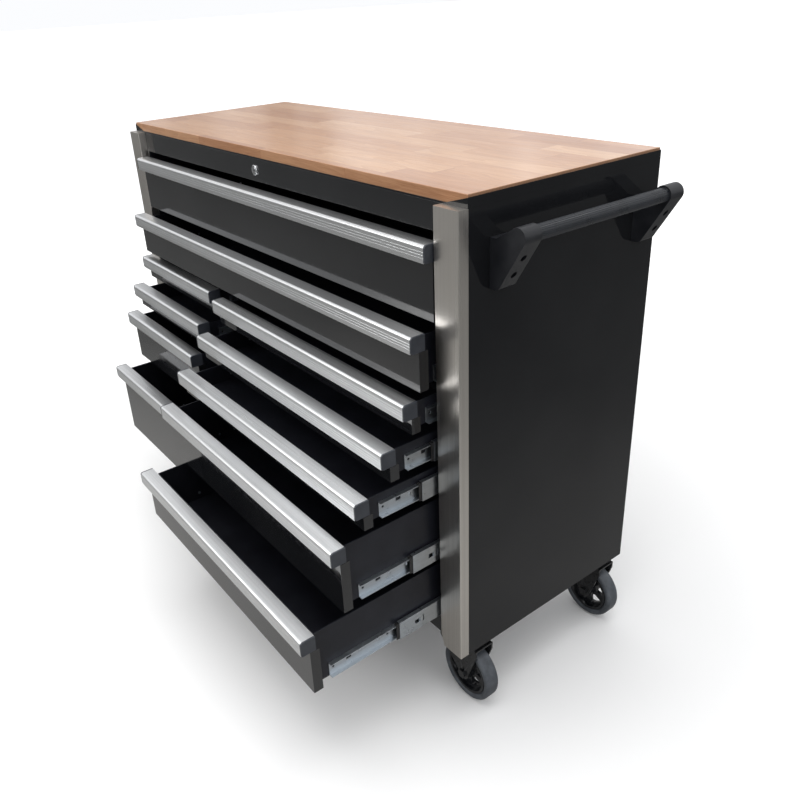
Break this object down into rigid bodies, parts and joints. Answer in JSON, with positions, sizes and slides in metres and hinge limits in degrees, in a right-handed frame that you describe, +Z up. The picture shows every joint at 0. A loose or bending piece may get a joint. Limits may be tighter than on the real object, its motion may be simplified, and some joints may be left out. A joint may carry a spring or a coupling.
{
  "type": "workbench with drawers",
  "caption": "Rolling steel workbench with a laminated wood top, a push handle, and wide and narrow drawers on telescopic ball-bearing slides with full-width pulls.",
  "frame": {"origin": "on the floor, below the centre of the bounding box with the drawers at rest", "axes": "+X towards the push-handle end, +Y towards the back panel, +Z up"},
  "size_m": [1.2335, 0.7246, 0.963],
  "materials": {
    "varnished_wood": "clear gloss varnish over laminated staves",
    "black_paint": "gloss black powder coat",
    "stainless": "brushed, slightly warm",
    "anodised_aluminium": "satin anodised, drawn lengthwise",
    "zinc_steel": "bright zinc plate",
    "chrome": "polished",
    "black_plastic": "fine-grained moulded black",
    "black_steel": "semi-gloss black",
    "tyre_rubber": "dark grey rubber on gloss black hubs"
  },
  "bodies": {
    "cabinet": {"worktop": "varnished_wood", "top_tray": "black_paint", "cabinet_shell": "black_paint", "cabinet_frame": "black_paint", "corner_posts": "stainless", "lock_housing": "chrome", "cabinet_rails": "zinc_steel", "push_handle": "black_plastic", "caster_mounts": "black_steel"},
    "lock": {"lock_plug": "chrome"},
    "drawer_full_1": {"drawer_full_1_box": "black_paint", "drawer_full_1_pull": "anodised_aluminium", "drawer_full_1_runners": "zinc_steel"},
    "drawer_full_1_midslides": {"drawer_full_1_slides": "zinc_steel"},
    "drawer_full_2": {"drawer_full_2_box": "black_paint", "drawer_full_2_pull": "anodised_aluminium", "drawer_full_2_runners": "zinc_steel"},
    "drawer_full_2_midslides": {"drawer_full_2_slides": "zinc_steel"},
    "drawer_left_1": {"drawer_left_1_box": "black_paint", "drawer_left_1_pull": "anodised_aluminium", "drawer_left_1_runners": "zinc_steel"},
    "drawer_left_1_midslides": {"drawer_left_1_slides": "zinc_steel"},
    "drawer_left_2": {"drawer_left_2_box": "black_paint", "drawer_left_2_pull": "anodised_aluminium", "drawer_left_2_runners": "zinc_steel"},
    "drawer_left_2_midslides": {"drawer_left_2_slides": "zinc_steel"},
    "drawer_left_3": {"drawer_left_3_box": "black_paint", "drawer_left_3_pull": "anodised_aluminium", "drawer_left_3_runners": "zinc_steel"},
    "drawer_left_3_midslides": {"drawer_left_3_slides": "zinc_steel"},
    "drawer_left_4": {"drawer_left_4_box": "black_paint", "drawer_left_4_pull": "anodised_aluminium", "drawer_left_4_runners": "zinc_steel"},
    "drawer_left_4_midslides": {"drawer_left_4_slides": "zinc_steel"},
    "drawer_right_1": {"drawer_right_1_box": "black_paint", "drawer_right_1_pull": "anodised_aluminium", "drawer_right_1_runners": "zinc_steel"},
    "drawer_right_1_midslides": {"drawer_right_1_slides": "zinc_steel"},
    "drawer_right_2": {"drawer_right_2_box": "black_paint", "drawer_right_2_pull": "anodised_aluminium", "drawer_right_2_runners": "zinc_steel"},
    "drawer_right_2_midslides": {"drawer_right_2_slides": "zinc_steel"},
    "drawer_right_3": {"drawer_right_3_box": "black_paint", "drawer_right_3_pull": "anodised_aluminium", "drawer_right_3_runners": "zinc_steel"},
    "drawer_right_3_midslides": {"drawer_right_3_slides": "zinc_steel"},
    "drawer_right_4": {"drawer_right_4_box": "black_paint", "drawer_right_4_pull": "anodised_aluminium", "drawer_right_4_runners": "zinc_steel"},
    "drawer_right_4_midslides": {"drawer_right_4_slides": "zinc_steel"},
    "drawer_right_5": {"drawer_right_5_box": "black_paint", "drawer_right_5_pull": "anodised_aluminium", "drawer_right_5_runners": "zinc_steel"},
    "drawer_right_5_midslides": {"drawer_right_5_slides": "zinc_steel"},
    "swivel_front": {"swivel_fork_front": "black_steel"},
    "wheel_front_left": {"wheel_front_left": "tyre_rubber"},
    "wheel_front_right": {"wheel_front_right": "tyre_rubber"},
    "swivel_rear": {"swivel_fork_rear": "black_steel"},
    "wheel_rear_left": {"wheel_rear_left": "tyre_rubber"},
    "wheel_rear_right": {"wheel_rear_right": "tyre_rubber"}
  },
  "joints": [
    {"name": "lock_turn", "type": "hinge", "parent": "cabinet", "child": "lock", "pos_m": [-0.03275, -0.0617, 0.922], "axis": [0, 1, 0], "range_deg": [0, 90]},
    {"name": "drawer_full_1_travel", "type": "slide", "parent": "cabinet", "child": "drawer_full_1", "axis": [0, -1, 0], "range_m": [0, 0.355]},
    {"name": "drawer_full_1_midslide_travel", "type": "slide", "parent": "cabinet", "child": "drawer_full_1_midslides", "axis": [0, -1, 0], "range_m": [-0.0001, 0.1776]},
    {"name": "drawer_full_2_travel", "type": "slide", "parent": "cabinet", "child": "drawer_full_2", "axis": [0, -1, 0], "range_m": [-0.03, 0.325]},
    {"name": "drawer_full_2_midslide_travel", "type": "slide", "parent": "cabinet", "child": "drawer_full_2_midslides", "axis": [0, -1, 0], "range_m": [-0.0151, 0.1626]},
    {"name": "drawer_left_1_travel", "type": "slide", "parent": "cabinet", "child": "drawer_left_1", "axis": [0, -1, 0], "range_m": [-0.03, 0.325]},
    {"name": "drawer_left_1_midslide_travel", "type": "slide", "parent": "cabinet", "child": "drawer_left_1_midslides", "axis": [0, -1, 0], "range_m": [-0.0151, 0.1626]},
    {"name": "drawer_left_2_travel", "type": "slide", "parent": "cabinet", "child": "drawer_left_2", "axis": [0, -1, 0], "range_m": [-0.066, 0.289]},
    {"name": "drawer_left_2_midslide_travel", "type": "slide", "parent": "cabinet", "child": "drawer_left_2_midslides", "axis": [0, -1, 0], "range_m": [-0.0331, 0.1446]},
    {"name": "drawer_left_3_travel", "type": "slide", "parent": "cabinet", "child": "drawer_left_3", "axis": [0, -1, 0], "range_m": [-0.094, 0.261]},
    {"name": "drawer_left_3_midslide_travel", "type": "slide", "parent": "cabinet", "child": "drawer_left_3_midslides", "axis": [0, -1, 0], "range_m": [-0.0471, 0.1306]},
    {"name": "drawer_left_4_travel", "type": "slide", "parent": "cabinet", "child": "drawer_left_4", "axis": [0, -1, 0], "range_m": [-0.151, 0.204]},
    {"name": "drawer_left_4_midslide_travel", "type": "slide", "parent": "cabinet", "child": "drawer_left_4_midslides", "axis": [0, -1, 0], "range_m": [-0.0756, 0.1021]},
    {"name": "drawer_right_1_travel", "type": "slide", "parent": "cabinet", "child": "drawer_right_1", "axis": [0, -1, 0], "range_m": [-0.0485, 0.3065]},
    {"name": "drawer_right_1_midslide_travel", "type": "slide", "parent": "cabinet", "child": "drawer_right_1_midslides", "axis": [0, -1, 0], "range_m": [-0.02435, 0.15335]},
    {"name": "drawer_right_2_travel", "type": "slide", "parent": "cabinet", "child": "drawer_right_2", "axis": [0, -1, 0], "range_m": [-0.094, 0.261]},
    {"name": "drawer_right_2_midslide_travel", "type": "slide", "parent": "cabinet", "child": "drawer_right_2_midslides", "axis": [0, -1, 0], "range_m": [-0.0471, 0.1306]},
    {"name": "drawer_right_3_travel", "type": "slide", "parent": "cabinet", "child": "drawer_right_3", "axis": [0, -1, 0], "range_m": [-0.149, 0.206]},
    {"name": "drawer_right_3_midslide_travel", "type": "slide", "parent": "cabinet", "child": "drawer_right_3_midslides", "axis": [0, -1, 0], "range_m": [-0.0746, 0.1031]},
    {"name": "drawer_right_4_travel", "type": "slide", "parent": "cabinet", "child": "drawer_right_4", "axis": [0, -1, 0], "range_m": [-0.198, 0.157]},
    {"name": "drawer_right_4_midslide_travel", "type": "slide", "parent": "cabinet", "child": "drawer_right_4_midslides", "axis": [0, -1, 0], "range_m": [-0.0991, 0.0786]},
    {"name": "drawer_right_5_travel", "type": "slide", "parent": "cabinet", "child": "drawer_right_5", "axis": [0, -1, 0], "range_m": [-0.267, 0.088]},
    {"name": "drawer_right_5_midslide_travel", "type": "slide", "parent": "cabinet", "child": "drawer_right_5_midslides", "axis": [0, -1, 0], "range_m": [-0.1336, 0.0441]},
    {"name": "swivel_front_turn", "type": "hinge", "parent": "cabinet", "child": "swivel_front", "pos_m": [0.48125, -0.0217, 0.134], "axis": [0, 0, 1], "continuous": true},
    {"name": "wheel_front_left_spin", "type": "hinge", "parent": "cabinet", "child": "wheel_front_left", "pos_m": [-0.54675, -0.0217, 0.059], "axis": [0, 1, 0], "continuous": true},
    {"name": "wheel_front_right_spin", "type": "hinge", "parent": "swivel_front", "child": "wheel_front_right", "pos_m": [0.51525, -0.0217, 0.059], "axis": [0, 1, 0], "continuous": true},
    {"name": "swivel_rear_turn", "type": "hinge", "parent": "cabinet", "child": "swivel_rear", "pos_m": [0.48125, 0.3223, 0.134], "axis": [0, 0, 1], "continuous": true},
    {"name": "wheel_rear_left_spin", "type": "hinge", "parent": "cabinet", "child": "wheel_rear_left", "pos_m": [-0.54675, 0.3223, 0.059], "axis": [0, 1, 0], "continuous": true},
    {"name": "wheel_rear_right_spin", "type": "hinge", "parent": "swivel_rear", "child": "wheel_rear_right", "pos_m": [0.51525, 0.3223, 0.059], "axis": [0, 1, 0], "continuous": true}
  ],
  "couplings": [
    {"joint": "drawer_full_1_midslide_travel", "follows": "drawer_full_1_travel", "ratio": 0.5},
    {"joint": "drawer_full_2_midslide_travel", "follows": "drawer_full_2_travel", "ratio": 0.5},
    {"joint": "drawer_left_1_midslide_travel", "follows": "drawer_left_1_travel", "ratio": 0.5},
    {"joint": "drawer_left_2_midslide_travel", "follows": "drawer_left_2_travel", "ratio": 0.5},
    {"joint": "drawer_left_3_midslide_travel", "follows": "drawer_left_3_travel", "ratio": 0.5},
    {"joint": "drawer_left_4_midslide_travel", "follows": "drawer_left_4_travel", "ratio": 0.5},
    {"joint": "drawer_right_1_midslide_travel", "follows": "drawer_right_1_travel", "ratio": 0.5},
    {"joint": "drawer_right_2_midslide_travel", "follows": "drawer_right_2_travel", "ratio": 0.5},
    {"joint": "drawer_right_3_midslide_travel", "follows": "drawer_right_3_travel", "ratio": 0.5},
    {"joint": "drawer_right_4_midslide_travel", "follows": "drawer_right_4_travel", "ratio": 0.5},
    {"joint": "drawer_right_5_midslide_travel", "follows": "drawer_right_5_travel", "ratio": 0.5}
  ]
}
